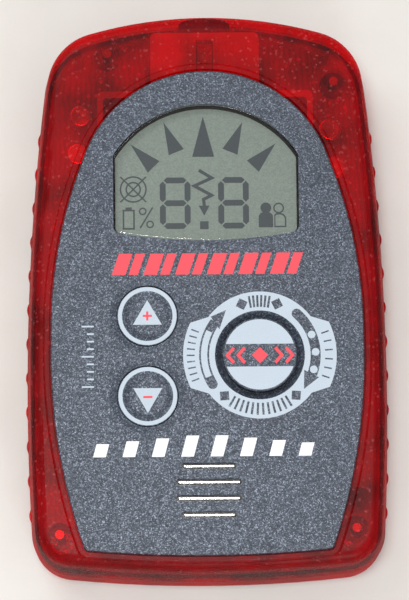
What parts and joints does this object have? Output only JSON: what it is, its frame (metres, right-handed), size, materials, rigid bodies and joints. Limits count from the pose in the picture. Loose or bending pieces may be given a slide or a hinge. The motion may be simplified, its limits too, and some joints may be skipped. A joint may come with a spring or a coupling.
{
  "type": "avalanche transceiver",
  "caption": "Pocket avalanche transceiver: translucent ribbed case, grey front panel with domed display, plus, minus and mode keys, speaker slots and a turning harness-key socket.",
  "frame": {"origin": "centre of the back face, with the transceiver lying on its back", "axes": "+Z out of the front face, +Y towards the harness-key end, +X to the display's right"},
  "size_m": [0.07, 0.1094, 0.024],
  "materials": {
    "red_shell": "satin translucent moulding",
    "panel_grey": "fine metallic flake",
    "clear_window": "clear gloss",
    "display_pane": "grey-green",
    "display_ink": "dark",
    "light_ink": "flat print",
    "red_ink": "flat print",
    "white_ink": "flat print",
    "black_rubber": "matt",
    "foam": "open cell",
    "mesh": "fine weave",
    "silicone": "matt",
    "adhesive": "flat",
    "bright_grille": "polished",
    "white_plastic": "natural",
    "black_plastic": "moulded",
    "board_amber": "bare laminate",
    "chip_black": "moulded",
    "ceramic": "fired",
    "ferrite": "sintered",
    "copper": "enamelled wire",
    "tin": "tinned",
    "steel": "plated",
    "cell_wrap": "shrink sleeve",
    "capacitor_can": "bright",
    "reed_glass": "clear"
  },
  "bodies": {
    "case": {"front_shell": "red_shell", "rear_shell": "red_shell", "case_seal": "black_rubber", "case_screws": "steel", "front_panel": "panel_grey", "panel_adhesive": "adhesive", "display_window": "clear_window", "window_gasket": "foam", "display_glass": "display_pane", "display_frame": "white_plastic", "display_connectors": "silicone", "display_segments": "display_ink", "key_switches": "tin", "keypad_mat": "silicone", "panel_light_print": "light_ink", "panel_red_print": "red_ink", "panel_white_print": "white_ink", "speaker_grille": "bright_grille", "acoustic_mesh": "mesh", "speaker_seal": "foam", "speaker_basket": "steel", "speaker_cone": "black_plastic", "main_board": "board_amber", "chips": "chip_black", "passives": "ceramic", "capacitors": "capacitor_can", "crystal": "tin", "shield_can": "tin", "cross_antenna_rod": "ferrite", "long_antenna_rod": "ferrite", "cross_antenna_coil": "copper", "long_antenna_coil": "copper", "antenna_leads": "copper", "rod_holders": "black_plastic", "battery_box": "black_plastic", "cells": "steel", "cell_sleeves": "cell_wrap", "contact_plates": "tin", "contact_springs": "steel", "socket_housing": "white_plastic", "detent_spring": "steel", "reed_switch": "reed_glass"},
    "plus_button": {"plus_key": "panel_grey", "plus_key_print": "light_ink", "plus_key_sign": "red_ink", "plus_switch_stem": "white_plastic"},
    "minus_button": {"minus_key": "panel_grey", "minus_key_print": "light_ink", "minus_key_sign": "red_ink", "minus_switch_stem": "white_plastic"},
    "mode_button": {"mode_key": "panel_grey", "mode_key_print": "light_ink", "mode_key_sign": "red_ink", "mode_switch_stem": "white_plastic"},
    "lock_rotor": {"key_rotor": "black_plastic", "rotor_seal": "black_rubber", "rotor_magnet": "steel"},
    "door": {"battery_door": "red_shell", "door_seal": "black_rubber"},
    "screw": {"door_screw": "steel"}
  },
  "joints": [
    {"name": "plus_press", "type": "slide", "parent": "case", "child": "plus_button", "axis": [0, 0, -1], "range_m": [0, 0.0005], "stiffness_N_per_m": 3000},
    {"name": "minus_press", "type": "slide", "parent": "case", "child": "minus_button", "axis": [0, 0, -1], "range_m": [0, 0.0005], "stiffness_N_per_m": 3000},
    {"name": "mode_press", "type": "slide", "parent": "case", "child": "mode_button", "axis": [0, 0, -1], "range_m": [0, 0.0005], "stiffness_N_per_m": 3000},
    {"name": "rotor_turn", "type": "hinge", "parent": "case", "child": "lock_rotor", "pos_m": [0, 0.04788, 0.012], "axis": [0, 1, 0], "range_deg": [0, 90]},
    {"name": "door_lift", "type": "slide", "parent": "case", "child": "door", "axis": [0, 0, -1], "range_m": [0, 0.02]},
    {"name": "screw_turn", "type": "hinge", "parent": "door", "child": "screw", "pos_m": [0, 0.01027, 0.001], "axis": [0, 0, 1], "range_deg": [0, 720]}
  ]
}
